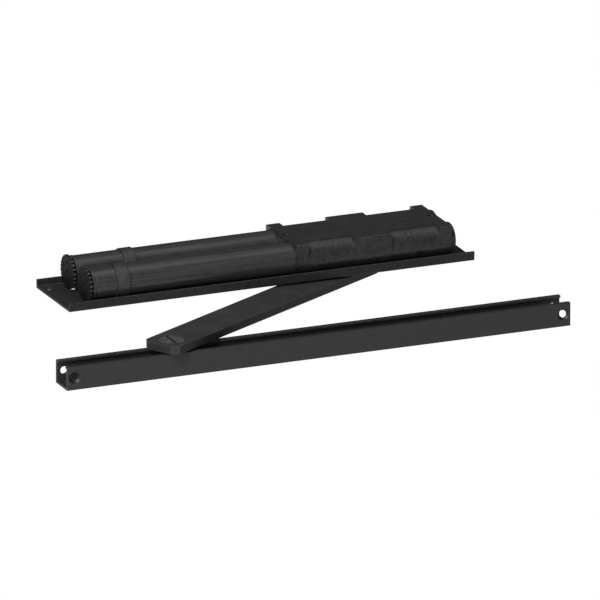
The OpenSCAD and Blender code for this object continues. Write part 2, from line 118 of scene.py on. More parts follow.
def roundCorners(bm, corners, radius, segments=6):
    bmesh.ops.bevel(bm, geom=corners, offset=radius, offset_type="OFFSET", segments=segments,
                    profile=0.5, affect="VERTICES", material=-1, clamp_overlap=True)


def prism(outline, start, length, axis="X", rounded=None, radius=0, segments=6):
    # outline is (y, z) along X or (x, y) along Z; rounded lists the corners that get a radius
    bm = bmesh.new()
    if axis == "X":
        corners = [bm.verts.new((start, y, z)) for y, z in outline]
        move = (length, 0, 0)
    else:
        corners = [bm.verts.new((x, y, start)) for x, y in outline]
        move = (0, 0, length)
    bm.faces.new(corners)
    if rounded:
        roundCorners(bm, [corners[i] for i in rounded], radius, segments)
    grown = bmesh.ops.extrude_face_region(bm, geom=bm.faces[:])
    bmesh.ops.translate(bm, vec=move,
                        verts=[v for v in grown["geom"] if isinstance(v, bmesh.types.BMVert)])
    return cleaned(bm)


def box(low, high):
    bm = bmesh.new()
    bmesh.ops.create_cube(bm, size=1)
    size = [b - a for a, b in zip(low, high)]
    middle = [(a + b) / 2 for a, b in zip(low, high)]
    bmesh.ops.scale(bm, vec=size, verts=bm.verts)
    bmesh.ops.translate(bm, vec=middle, verts=bm.verts)
    return bm


def joined(shapes):
    # one shape from several that don't touch; the shapes given are used up
    whole = bmesh.new()
    for shape in shapes:
        mesh = bpy.data.meshes.new("joined")
        shape.to_mesh(mesh)
        shape.free()
        whole.from_mesh(mesh)
        bpy.data.meshes.remove(mesh)
    return whole


def turned(bm, angle, centre=(0, 0, 0), axis="Z"):
    bmesh.ops.rotate(bm, cent=centre, matrix=Matrix.Rotation(angle, 3, axis), verts=bm.verts)
    return bm


def toObject(bm, name):
    mesh = bpy.data.meshes.new(name)
    bm.to_mesh(mesh)
    bm.free()
    made = bpy.data.objects.new(name, mesh)
    bpy.context.scene.collection.objects.link(made)
    return made


def combine(base, others, operation):
    # joins to or cuts from a shape; the shapes given are used up
    baseObject = toObject(base, "combineBase")
    group = bpy.data.collections.new("combineGroup")
    otherObjects = [toObject(other, "combineOther") for other in others]
    for other in otherObjects:
        group.objects.link(other)
    modifier = baseObject.modifiers.new("combine", "BOOLEAN")
    modifier.operation = operation
    modifier.solver = "EXACT"
    modifier.operand_type = "COLLECTION"
    modifier.collection = group
    depsgraph = bpy.context.evaluated_depsgraph_get()
    mesh = bpy.data.meshes.new_from_object(baseObject.evaluated_get(depsgraph))
    result = bmesh.new()
    result.from_mesh(mesh)
    for temp in otherObjects + [baseObject]:
        tempMesh = temp.data
        bpy.data.objects.remove(temp)
        bpy.data.meshes.remove(tempMesh)
    bpy.data.collections.remove(group)
    bpy.data.meshes.remove(mesh)
    return cleaned(result)


def markLayer(bm, mark):
    return bm.faces.layers.float.get(mark) or bm.faces.layers.float.new(mark)


def markFaces(bm, mark, chosen):
    layer = markLayer(bm, mark)
    for face in bm.faces:
        if chosen(face.calc_center_median(), face.normal):
            face[layer] = 1


def soften(bm, width, segments=2, limit=30, keep=None, mark="rim"):
    # rounds the sharp edges; the new faces are marked as rims, or as creases where the join is an
    # inside one, so that a finish can pick them out and paint the creases dark as shade
    layers = markLayer(bm, mark), markLayer(bm, "crease")
    sharp = [edge for edge in bm.edges if len(edge.link_faces) == 2
             and edge.calc_face_angle(0) > math.radians(limit) and (keep is None or keep(edge))]
    made = bmesh.ops.bevel(bm, geom=sharp, offset=width, offset_type="OFFSET",
                           segments=segments, profile=0.5, affect="EDGES", material=-1,
                           clamp_overlap=True, loop_slide=True)
    bm.normal_update()
    for face in made["faces"]:
        bend = sum(edge.calc_length() * edge.calc_face_angle_signed(0) for edge in face.edges)
        face[layers[bend < 0]] = 1
    return cleaned(bm, 0.01)


def finishPiece(name, bm, look, body, node):
    bmesh.ops.scale(bm, vec=(mm, mm, mm), verts=bm.verts)
    for face in bm.faces:
        face.smooth = True
    piece = toObject(bm, name)
    piece.data.set_sharp_from_angle(angle=math.radians(smoothAngle))
    piece.data.materials.append(look)
    weighted = piece.modifiers.new("even normals", "WEIGHTED_NORMAL")
    weighted.keep_sharp = True
    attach(piece, body)
    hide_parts(node)


# shader helpers

def addNode(tree, kind, place, **settings):
    node = tree.nodes.new(kind)
    node.location = (place[0] * 200, place[1] * -180)
    for setting, value in settings.items():
        setattr(node, setting, value)
    return node


def feed(tree, socket, value):
    # value is a number, a colour or another node's output
    if isinstance(value, (int, float)):
        socket.default_value = value
    elif isinstance(value, tuple):
        socket.default_value = (*value, 1)
    else:
        tree.links.new(value, socket)


def newGroup(name, inputs, outputs):
    tree = bpy.data.node_groups.new(name, "ShaderNodeTree")
    for label, value in inputs.items():
        socket = tree.interface.new_socket(label, in_out="INPUT", socket_type="NodeSocketFloat")
        socket.default_value = value
    for label in outputs:
        tree.interface.new_socket(label, in_out="OUTPUT", socket_type="NodeSocketFloat")
    return tree, addNode(tree, "NodeGroupInput", (-6, 0)), addNode(tree, "NodeGroupOutput", (6, 0))


def mathNode(tree, place, operation, first, second):
    node = addNode(tree, "ShaderNodeMath", place, operation=operation)
    feed(tree, node.inputs[0], first)
    feed(tree, node.inputs[1], second)
    return node.outputs[0]


def scaleNode(tree, place, size):
    # a size in millimetres as a texture scale
    return mathNode(tree, place, "DIVIDE", 1 / mm, size)


def noiseNode(tree, place, vector, scale, texture):
    node = addNode(tree, "ShaderNodeTexNoise", place)
    feed(tree, node.inputs["Vector"], vector)
    feed(tree, node.inputs["Scale"], scale)
    node.inputs["Detail"].default_value = texture["detail"]
    node.inputs["Roughness"].default_value = texture.get("roughness", 0.5)
    return node.outputs["Fac"]


def spreadNode(tree, place, value, texture, least=0.0):
    # stretches the texture's low to high over least to 1
    node = addNode(tree, "ShaderNodeMapRange", place, clamp=True)
    feed(tree, node.inputs["Value"], value)
    feed(tree, node.inputs["To Min"], least)
    node.inputs["From Min"].default_value = texture["low"]
    node.inputs["From Max"].default_value = texture["high"]
    return node.outputs["Result"]


grainTexture = {"detail": 3, "broadDetail": 4, "broadScale": 0.22, "pitScale": 0.8,
                "broadShare": 0.65, "fineShare": 0.35, "low": 0.36, "high": 0.64}
streakTexture = {"detail": 3, "roughness": 0.6, "low": 0.35, "high": 0.68}
patchTexture = {"detail": 4, "low": 0.3, "high": 0.7}
dustTexture = {"detail": 6, "roughness": 0.65}
lookingUp = {"low": 0.3, "high": 1.0}


def makeCoatGrain(texture):
    # the fine orange-peel of sprayed and stoved paint, or the coarser skin of a casting
    tree, given, made = newGroup("coat grain", {"Size": 1.0, "Pits": 0.0}, ["Height", "Mottle"])
    surface = addNode(tree, "ShaderNodeTexCoord", (-5, 0)).outputs["Object"]
    scale = scaleNode(tree, (-5, 1), given.outputs["Size"])
    broadScale = mathNode(tree, (-4, 2), "MULTIPLY", scale, texture["broadScale"])
    fine = noiseNode(tree, (-3, -1), surface, scale, texture)
    broad = noiseNode(tree, (-3, 1), surface, broadScale, {"detail": texture["broadDetail"]})
    pits = addNode(tree, "ShaderNodeTexVoronoi", (-3, 3), feature="SMOOTH_F1")
    feed(tree, pits.inputs["Vector"], surface)
    feed(tree, pits.inputs["Scale"],
         mathNode(tree, (-4, 3), "MULTIPLY", scale, texture["pitScale"]))
    pitDepth = mathNode(tree, (-1, 3), "MULTIPLY", pits.outputs["Distance"], given.outputs["Pits"])
    feed(tree, made.inputs["Height"], mathNode(tree, (0, 1), "ADD", fine, pitDepth))
    mottle = mathNode(tree, (1, 2), "ADD",
                      mathNode(tree, (0, 2), "MULTIPLY", broad, texture["broadShare"]),
                      mathNode(tree, (0, 3), "MULTIPLY", fine, texture["fineShare"]))
    feed(tree, made.inputs["Mottle"], spreadNode(tree, (2, 2), mottle, texture))
    return tree


def makeDrawnStreaks(texture):
    # long fine lines along X, from drawing the tube and from handling
    tree, given, made = newGroup("drawn streaks", {"Width": 1.0, "Length": 60.0},
                                 ["Mask", "Height"])
    coords = addNode(tree, "ShaderNodeTexCoord", (-5, 0))
    across = scaleNode(tree, (-5, 1), given.outputs["Width"])
    along = scaleNode(tree, (-5, 2), given.outputs["Length"])
    stretch = addNode(tree, "ShaderNodeCombineXYZ", (-4, 1))
    for label, value in (("X", along), ("Y", across), ("Z", across)):
        feed(tree, stretch.inputs[label], value)
    scaled = addNode(tree, "ShaderNodeVectorMath", (-3, 0), operation="MULTIPLY")
    feed(tree, scaled.inputs[0], coords.outputs["Object"])
    feed(tree, scaled.inputs[1], stretch.outputs["Vector"])
    lines = noiseNode(tree, (-2, 0), scaled.outputs["Vector"], 1, texture)
    feed(tree, made.inputs["Mask"], spreadNode(tree, (0, 0), lines, texture))
    feed(tree, made.inputs["Height"], lines)
    return tree


def makeMarkedArea(name, mark, texture):
    # the marked faces, patchy by Least to 1: rims where paint is rubbed, and creases painted
    # nearly black as shade
    tree, given, made = newGroup(name, {"Amount": 0.5, "Patch": 12.0, "Least": 0.45}, ["Mask"])
    coords = addNode(tree, "ShaderNodeTexCoord", (-5, 0))
    marked = addNode(tree, "ShaderNodeAttribute", (-4, -1), attribute_name=mark)
    scale = scaleNode(tree, (-4, 1), given.outputs["Patch"])
    patches = noiseNode(tree, (-3, 1), coords.outputs["Object"], scale, texture)
    spread = spreadNode(tree, (-1, 1), patches, texture, given.outputs["Least"])
    patchy = mathNode(tree, (0, 0), "MULTIPLY", marked.outputs["Fac"], spread)
    feed(tree, made.inputs["Mask"],
         mathNode(tree, (2, 0), "MULTIPLY", patchy, given.outputs["Amount"]))
    return tree


def makeShopDust(texture):
    # a thin film that settles on faces that look up
    tree, given, made = newGroup("shop dust", {"Amount": 0.2, "Patch": 30.0}, ["Mask"])
    coords = addNode(tree, "ShaderNodeTexCoord", (-5, 0))
    surface = addNode(tree, "ShaderNodeNewGeometry", (-5, 2))
    parts = addNode(tree, "ShaderNodeSeparateXYZ", (-4, 2))
    feed(tree, parts.inputs["Vector"], surface.outputs["Normal"])
    up = spreadNode(tree, (-3, 2), parts.outputs["Z"], lookingUp)
    scale = scaleNode(tree, (-4, 0), given.outputs["Patch"])
    patches = noiseNode(tree, (-3, 0), coords.outputs["Object"], scale, texture)
    settled = mathNode(tree, (0, 0), "MULTIPLY", patches, up)
    feed(tree, made.inputs["Mask"],
         mathNode(tree, (2, 0), "MULTIPLY", settled, given.outputs["Amount"]))
    return tree


coatGrain = makeCoatGrain(grainTexture)
drawnStreaks = makeDrawnStreaks(streakTexture)
edgeWear = makeMarkedArea("edge wear", "rim", patchTexture)
# the crease-marked faces are painted dark: painted shade in recesses, slots, gaps and inside joins
recessPaintedShade = makeMarkedArea("recess painted shade", "crease", patchTexture)
shopDust = makeShopDust(dustTexture)


def placeGroup(tree, group, place, **values):
    node = addNode(tree, "ShaderNodeGroup", place, node_tree=group)
    for label, value in values.items():
        node.inputs[label].default_value = value
    return node


def mixColours(tree, place, mask, first, second):
    mix = addNode(tree, "ShaderNodeMix", place, data_type="RGBA")
    for label, value in (("Factor", mask), ("A", first), ("B", second)):
        feed(tree, mix.inputs[label], value)
    return mix.outputs["Result"]


paintedShadeLeast = 0.85     # painted shade is nearly even along a crease


def makeFinish(name, look):
    # dark and light are the mottle; streak, machined, dust, wear and the painted shade in creases
    # are given or left out
    material = bpy.data.materials.new(name)
    material.use_nodes = True
    tree = material.node_tree
    shader = tree.nodes["Principled BSDF"]
    shader.inputs["Metallic"].default_value = look.get("metal", 0)
    shader.inputs["Specular IOR Level"].default_value = look.get("specular", 0.5)
    grain = placeGroup(tree, coatGrain, (-6, 0), Size=look["grain"], Pits=look.get("pits", 0))
    colour = mixColours(tree, (-4, 0), grain.outputs["Mottle"], look["dark"], look["light"])
    height = grain.outputs["Height"]
    rough = grain.outputs["Mottle"]
    if "streak" in look:
        streaks = placeGroup(tree, drawnStreaks, (-6, 2), Width=look["streakWidth"],
                             Length=look["streakLength"])
        amount = mathNode(tree, (-5, 2), "MULTIPLY", streaks.outputs["Mask"], look["streak"])
        colour = mixColours(tree, (-3, 0), amount, colour, look["streakColour"])
        height = mathNode(tree, (-4, 3), "ADD", height, streaks.outputs["Height"])
        rough = mathNode(tree, (-4, 2), "SUBTRACT", rough, amount)
    if "machined" in look:
        machined = addNode(tree, "ShaderNodeAttribute", (-6, 7), attribute_name="machined")
        level = mathNode(tree, (-5, 7), "MULTIPLY", machined.outputs["Fac"], look["machined"])
        height = mathNode(tree, (-3, 7), "MULTIPLY", height,
                          mathNode(tree, (-4, 7), "SUBTRACT", 1.0, level))
    if "dust" in look:
        dust = placeGroup(tree, shopDust, (-6, 4), Amount=look["dust"])
        colour = mixColours(tree, (-2, 1), dust.outputs["Mask"], colour, look["dustColour"])
    if "wear" in look:
        wear = placeGroup(tree, edgeWear, (-6, 5), Amount=look["wear"])
        colour = mixColours(tree, (-2, 0), wear.outputs["Mask"], colour, look["wearColour"])
    # painted shade: the crease-marked faces turn nearly black and rougher
    if "paintedShade" in look:
        paintedShade = placeGroup(tree, recessPaintedShade, (-6, 6), Amount=look["paintedShade"], Least=paintedShadeLeast)
        colour = mixColours(tree, (-1, 1), paintedShade.outputs["Mask"], colour, look["paintedShadeColour"])
        rough = mathNode(tree, (-4, 4), "ADD", rough, paintedShade.outputs["Mask"])
    feed(tree, shader.inputs["Base Color"], colour)
    span = addNode(tree, "ShaderNodeMapRange", (-2, 3), clamp=True)
    for label, value in zip(("Value", "To Min", "To Max"), (rough, *look["rough"])):
        feed(tree, span.inputs[label], value)
    feed(tree, shader.inputs["Roughness"], span.outputs["Result"])
    bump = addNode(tree, "ShaderNodeBump", (-2, 5))
    bump.inputs["Strength"].default_value = 1
    bump.inputs["Distance"].default_value = look["depth"] * mm
    feed(tree, bump.inputs["Height"], height)
    feed(tree, shader.inputs["Normal"], bump.outputs["Normal"])
    return material


def grey(level, warm=0.0):
    return (level * (1 + warm), level, level * (1 - warm))


# in each finish the near-black crease colour is painted shade, laid on the crease-marked faces
channelPaint = makeFinish("channel paint", {
    "dark": grey(0.005), "light": grey(0.0072), "grain": 1.1, "depth": 0.05,
    "rough": (0.42, 0.52), "specular": 0.3, "wear": 0.5, "wearColour": grey(0.05),
    "dust": 0.15, "dustColour": grey(0.08)})
castingPaint = makeFinish("casting paint", {
    "dark": grey(0.0055), "light": grey(0.009), "grain": 1.8, "depth": 0.3, "pits": 0.8,
    "rough": (0.32, 0.46), "specular": 0.5, "machined": 0.9, "wear": 0.5, "wearColour": grey(0.05),
    "paintedShade": 0.95, "paintedShadeColour": grey(0.0015), "dust": 0.16, "dustColour": grey(0.08)})
tubePaint = makeFinish("tube paint", {
    "dark": grey(0.0085), "light": grey(0.012), "grain": 1.3, "depth": 0.04,
    "streak": 0.6, "streakWidth": 1.3, "streakLength": 130, "streakColour": grey(0.036),
    "rough": (0.34, 0.5), "specular": 0.4, "wear": 0.4, "wearColour": grey(0.06),
    "paintedShade": 0.9, "paintedShadeColour": grey(0.002)})
collarPaint = makeFinish("collar paint", {
    "dark": grey(0.010), "light": grey(0.018), "grain": 1.2, "depth": 0.12, "pits": 0.4,
    "streak": 0.35, "streakWidth": 22, "streakLength": 1.3, "streakColour": grey(0.035),
    "rough": (0.42, 0.6), "specular": 0.4, "paintedShade": 0.85, "paintedShadeColour": grey(0.002)})
# the wear colour here also paints a highlight on the tooth tops
capBlack = makeFinish("cap black", {
    "dark": grey(0.002), "light": grey(0.0045), "grain": 1.6, "depth": 0.1,
    "rough": (0.5, 0.65), "specular": 0.12, "wear": 0.8, "wearColour": grey(0.05),
    "paintedShade": 0.95, "paintedShadeColour": grey(0.0008)})
plugBlack = makeFinish("plug black", {
    "dark": grey(0.010), "light": grey(0.016), "grain": 1.5, "depth": 0.07,
    "rough": (0.42, 0.58), "specular": 0.35, "wear": 0.6, "wearColour": grey(0.06),
    "paintedShade": 0.9, "paintedShadeColour": grey(0.002)})
armPaint = makeFinish("arm paint", {
    "dark": grey(0.008), "light": grey(0.011), "grain": 1.0, "depth": 0.04,
    "rough": (0.45, 0.55), "specular": 0.25, "wear": 0.6, "wearColour": grey(0.05),
    "paintedShade": 0.9, "paintedShadeColour": grey(0.002), "dust": 0.32, "dustColour": grey(0.08)})
trackPaint = makeFinish("track paint", {
    "dark": grey(0.0105), "light": grey(0.0135), "grain": 1.0, "depth": 0.035,
    "rough": (0.42, 0.52), "specular": 0.3, "wear": 0.5, "wearColour": grey(0.06),
    "paintedShade": 0.9, "paintedShadeColour": grey(0.002)})
studSteel = makeFinish("blackened stud", {
    "dark": grey(0.06), "light": grey(0.11), "grain": 0.9, "depth": 0.05, "metal": 0.6,
    "rough": (0.35, 0.55), "wear": 0.7, "wearColour": grey(0.25),
    "paintedShade": 0.97, "paintedShadeColour": grey(0.001)})
screwSteel = makeFinish("black screw", {
    "dark": grey(0.02), "light": grey(0.05), "grain": 0.8, "depth": 0.04, "metal": 0.5,
    "rough": (0.32, 0.5), "wear": 0.6, "wearColour": grey(0.2),
    "paintedShade": 0.9, "paintedShadeColour": grey(0.002)})
brightSteel = makeFinish("oiled steel", {
    "dark": grey(0.38), "light": grey(0.56, 0.01), "grain": 0.7, "depth": 0.02, "metal": 1,
    "rough": (0.2, 0.36), "streak": 0.4, "streakWidth": 0.35, "streakLength": 12,
    "streakColour": grey(0.66)})
springSteel = makeFinish("spring steel", {
    "dark": grey(0.2, 0.02), "light": grey(0.34, 0.02), "grain": 0.8, "depth": 0.03, "metal": 1,
    "rough": (0.24, 0.42)})
bearingBronze = makeFinish("bearing bronze", {
    "dark": (0.36, 0.2, 0.075), "light": (0.52, 0.32, 0.13), "grain": 0.6, "depth": 0.03,
    "metal": 1, "rough": (0.3, 0.45), "pits": 0.3})
sealRubber = makeFinish("seal rubber", {
    "dark": grey(0.01), "light": grey(0.02), "grain": 0.7, "depth": 0.03,
    "rough": (0.55, 0.75), "specular": 0.4})
rollerNylon = makeFinish("roller nylon", {
    "dark": grey(0.018), "light": grey(0.03), "grain": 0.9, "depth": 0.03,
    "rough": (0.3, 0.45), "specular": 0.5})
print("finishes made")


# mounting channel

screwShape = {"head": 3.8, "headHeight": 4.4, "shank": 2.5, "flats": 4, "socketDepth": 2.8,
              "edge": 0.25}
channelShape = {"sheet": 2.3, "bend": 1.2, "edge": 0.3, "holeSpacing": (424.6, 58.9),
                "holeRadius": 3.75, "wiringHole": (-189.8, 22.9), "wiringRadius": 4.75,
                "holeEdge": 0.1, "pinionHole": 16, "screwRadius": 2.55}


def buildChannel(shape):
    low, high = placeOf("mounting_channel")
    screws = placeOf("housing_screws")
    sheet = shape["sheet"]
    outline = [(low.y, low.z), (high.y, low.z), (high.y, high.z), (high.y - sheet, high.z),
               (high.y - sheet, sheet), (low.y + sheet, sheet), (low.y + sheet, high.z),
               (low.y, high.z)]
    channel = prism(outline, low.x, high.x - low.x, rounded=(0, 1, 4, 5), radius=shape["bend"])
    drill = (low.z - past, sheet + past)
    holes = [rod(*drill, shape["holeRadius"], "Z", (x * shape["holeSpacing"][0] / 2,
                                                    y * shape["holeSpacing"][1] / 2, 0))
             for x in (-1, 1) for y in (-1, 1)]
    holes.append(rod(*drill, shape["wiringRadius"], "Z", (*shape["wiringHole"], 0)))
    holes.append(rod(*drill, shape["pinionHole"], "Z", (pinion.x, 0, 0), boreSteps))
    holes += [rod(*drill, shape["screwRadius"], "Z", (x, 0, 0))
              for x in (screws[0].x + screwShape["head"], screws[1].x - screwShape["head"])]
    soften(channel, shape["edge"])
    channel = combine(channel, holes, "DIFFERENCE")
    soften(channel, shape["holeEdge"], 1, 60)
    finishPiece("channelPressing", channel, channelPaint, "closer",
                "mounting_channel")


pinion = middleOf("upper_bearing")
buildChannel(channelShape)
print("mounting channel built")


# cast housing with its two barrels

housingShape = {"barrelRadius": 17.2, "barrelOffset": 21.7, "axisHeight": 20.2, "topHalf": 27.5,
                "webLow": 5, "earHalf": 39.2, "earLow": 18.6, "earCorner": 2, "leftEar": 14,
                "rightEar": 12.5, "bossHalf": 20, "footLength": 14, "footHalf": 12,
                "footTop": 10.3, "bearingFoot": 19, "bearingFootTop": 9.3, "bore": 14.05,
                "socket": 16.02, "socketDepth": 14, "socketChamfer": 1.1, "thread": 15.02,
                "threadLow": 1, "threadTop": 7.5, "cavity": 14.6, "cavityTop": 29, "pocket": 11,
                "pocketTop": 35.3, "counterbore": 4.1, "counterboreDepth": 5.3,
                "screwHole": 2.6, "screwIn": (6, 5), "stepShade": 1.5, "edge": 0.45}


def castingBody(shape, low, high):
    # two barrels under a flat top, three pairs of ears, and the feet on the channel
    offset, height, top = shape["barrelOffset"], shape["axisHeight"], shape["topHalf"]
    half, sheet = shape["earHalf"], channelShape["sheet"]
    bossLow, bossHigh = pinion.x - shape["bossHalf"], pinion.x + shape["bossHalf"]
    web = prism([(-offset, shape["webLow"]), (offset, shape["webLow"]), (offset, height),
                 (top, height), (top, high.z), (-top, high.z), (-top, height),
                 (-offset, height)], low.x, high.x - low.x)
    parts = [rod(low.x, high.x, shape["barrelRadius"], "X", (0, side * offset, height), tubeSteps)
             for side in (-1, 1)]
    for start, width, bottom in ((low.x, shape["leftEar"], shape["earLow"]),
                                 (high.x - shape["rightEar"], shape["rightEar"], shape["earLow"]),
                                 (bossLow, 2 * shape["bossHalf"], height)):
        outline = [(-half, bottom), (half, bottom), (half, high.z), (-half, high.z)]
        parts.append(prism(outline, start, width, rounded=(2, 3), radius=shape["earCorner"]))
    parts += [rod(bossLow, bossHigh, half - offset, "X", (0, side * offset, height), tubeSteps)
              for side in (-1, 1)]
    for start in (low.x, high.x - shape["footLength"]):
        parts.append(box((start, -shape["footHalf"], sheet),
                         (start + shape["footLength"], shape["footHalf"], shape["footTop"])))
    parts.append(rod(sheet, shape["bearingFootTop"], shape["bearingFoot"], "Z",
                     (pinion.x, 0, 0), boreSteps))
    return combine(web, parts, "UNION")


def castingCuts(shape, low, high, screwPlaces):
    # the bores with the tubes' sockets, the pinion's stepped cavity and the screws' holes
    socketEnd = low.x + shape["socketDepth"]
    bore = [(low.x - past, 0), (low.x - past, shape["socket"] + shape["socketChamfer"] + past),
            (low.x + shape["socketChamfer"], shape["socket"]), (socketEnd, shape["socket"]),
            (socketEnd, shape["bore"]), (high.x + past, shape["bore"]), (high.x + past, 0)]
    cuts = [lathe(bore, "X", (0, side * shape["barrelOffset"], shape["axisHeight"]))
            for side in (-1, 1)]
    cuts.append(lathe([(shape["threadLow"], 0), (shape["threadLow"], shape["thread"]),
                       (shape["threadTop"], shape["thread"]),
                       (shape["threadTop"], shape["cavity"]),
                       (shape["cavityTop"], shape["cavity"]),
                       (shape["cavityTop"], shape["pocket"]),
                       (shape["pocketTop"], shape["pocket"]), (shape["pocketTop"], 0)],
                      "Z", (pinion.x, 0, 0)))
    wellLow = high.z - shape["counterboreDepth"]
    for x in screwPlaces:
        cuts.append(lathe([(0, 0), (0, shape["screwHole"]), (wellLow, shape["screwHole"]),
                           (wellLow, shape["counterbore"]),
                           (high.z + past, shape["counterbore"]), (high.z + past, 0)],
                          "Z", (x, 0, 0), holeSteps))
    return cuts


def buildHousing(shape):
    low, high = placeOf("housing")
    screwPlaces = (low.x + shape["screwIn"][0], high.x - shape["screwIn"][1])
    socketEnd = low.x + shape["socketDepth"]
    casting = combine(castingBody(shape, low, high),
                      castingCuts(shape, low, high, screwPlaces), "DIFFERENCE")
    soften(casting, shape["edge"], 2, 28)

    def inScrewWell(place, normal):
        away = min((place.xy - Vector((x, 0))).length for x in screwPlaces)
        depth = high.z - place.z
        return away < shape["counterbore"] + near / 2 and (
            2 * near < depth < shape["counterboreDepth"] + 2 * near)

    def inSocket(place, normal):
        away = min((place.yz - Vector((y, shape["axisHeight"]))).length
                   for y in (-shape["barrelOffset"], shape["barrelOffset"]))
        return normal.x < 0.5 and low.x + 3 * near < place.x < socketEnd + near and (
            away < shape["socket"] + shape["socketChamfer"] / 2)

    def atTopStep(place, normal):
        # the step between the flat top and the barrels lies in its own shade
        return abs(normal.y) > 0.7 and place.z > high.z - shape["stepShade"] and (
            abs(abs(place.y) - shape["topHalf"]) < 3 * near)

    def onFlatTop(place, normal):
        return normal.z > 0.99 and place.z > high.z - near

    # the screw wells, the tube sockets and the foot of the top step are painted dark as shade
    for chosen in (inScrewWell, inSocket, atTopStep):
        markFaces(casting, "crease", chosen)
    markFaces(casting, "machined", onFlatTop)
    finishPiece("castHousing", casting, castingPaint, "closer", "housing")


buildHousing(housingShape)
print("housing built")


# socket screws in the housing

def buildHousingScrews(shape):
    low, high = placeOf("housing_screws")
    headLow = high.z - shape["headHeight"]
    socketLow = high.z - shape["socketDepth"]
    across = shape["flats"] / math.cos(math.radians(30)) / 2
    screwPlaces = (low.x + shape["head"], high.x - shape["head"])
    bodies = [lathe([(low.z, 0), (low.z, shape["shank"]), (headLow, shape["shank"]),
                     (headLow, shape["head"]), (high.z, shape["head"]), (high.z, 0)],
                    "Z", (x, 0, 0), holeSteps) for x in screwPlaces]
    sockets = [rod(socketLow, high.z + past, across, "Z", (x, 0, 0), 6) for x in screwPlaces]
    screws = combine(joined(bodies), sockets, "DIFFERENCE")
    soften(screws, shape["edge"])

    def inHexSocket(place, normal):
        away = min(abs(place.x - x) for x in screwPlaces)
        return (socketLow - near < place.z < high.z - shape["edge"]
                and abs(place.y) < shape["flats"] / 2 + 2 * near
                and away < shape["flats"] / 2 + 4 * near)

    # the hex sockets are painted dark as shade
    markFaces(screws, "crease", inHexSocket)
    finishPiece("castingScrews", screws, screwSteel, "closer", "housing_screws")


buildHousingScrews(screwShape)


# spring tubes, their end rings and their collars

tubeShape = {"wall": 1.8, "edge": 0.35, "grooveAt": 3.1, "grooveWidth": 0.5, "grooveDepth": 0.18,
             "grooveSlope": 0.1, "collarShade": 0.9}
collarShape = {"edge": 0.75}
ringShape = {"edge": 0.12}


def buildTube(side):
    node = side + "_spring_tube"
    low, high = placeOf(node)
    centre = middleOf(node)
    radius = (high.y - low.y) / 2
    inner = radius - tubeShape["wall"]
    groove = low.x + tubeShape["grooveAt"]
    deep = radius - tubeShape["grooveDepth"]
    width, slope = tubeShape["grooveWidth"], tubeShape["grooveSlope"]
    collar = placeOf(side + "_tube_collar")[0].x
    profile = [(low.x, inner), (low.x, radius), (groove, radius), (groove + slope, deep),
               (groove + width - slope, deep), (groove + width, radius),
               (collar - tubeShape["collarShade"], radius), (collar, radius), (high.x, radius),
               (high.x, inner)]
    tube = lathe(profile, "X", (0, centre.y, centre.z), tubeSteps, closed=True)
    soften(tube, tubeShape["edge"], 2, 60)
    # painted shade: a dark band just left of the collar, and dark shade in the groove
    markFaces(tube, "crease", lambda place, normal: abs(normal.x) < 0.1
              and collar - tubeShape["collarShade"] < place.x < collar)
    markFaces(tube, "crease", lambda place, normal: groove < place.x < groove + width)
    finishPiece(side + "SpringTube", tube, tubePaint, "closer", node)


def buildBand(side, node, name, edge, look, mark):
    # only the band's outer edges are rounded; its inner ones sit on the tube
    low, high = placeOf(node)
    tube = placeOf(side + "_spring_tube")
    centre = middleOf(node)
    radius = (high.y - low.y) / 2
    inner = (tube[1].y - tube[0].y) / 2

    def outside(edge):
        return all((v.co.yz - centre.yz).length > inner + near for v in edge.verts)

    band = lathe(ringProfile(low.x, high.x, radius, inner), "X", (0, centre.y, centre.z),
                 tubeSteps, closed=True)
    soften(band, edge, 3, 60, outside, mark)
    finishPiece(name, band, look, "closer", node)


for side in ("front", "back"):
    buildTube(side)
    # the collar's rounded edges are marked as creases, which paints a dark shade line round each
    # edge
    buildBand(side, side + "_tube_collar", side + "TubeCollar", collarShape["edge"], collarPaint,
              "crease")
    buildBand(side, side + "_tube_ring", side + "TubeRing", ringShape["edge"], tubePaint, "rim")
print("tubes built")


# notched adjusting caps

capShape = {"rimWidth": 2.4, "rimRadius": 17.7, "hub": 13, "hubGap": 0.2, "spigot": 14,
            "notches": 24, "notchRadius": 1.4, "notchOut": 0.3, "notchPast": 0.3,
            "toothTop": 17.5, "spannerHoles": 6, "spannerRadius": 1.6, "spannerAt": 9.5,
            "spannerDepth": 2, "faceDepth": 2, "centreHole": 2.6, "screwHole": 4, "edge": 0.3}


def aroundCap(count, start, end, radius, out, steps):
    # equal cutters round the cap's axis
    return [turned(rod(start, end, radius, "X", (0, 0, out), steps), i * turn / count, axis="X")
            for i in range(count)]


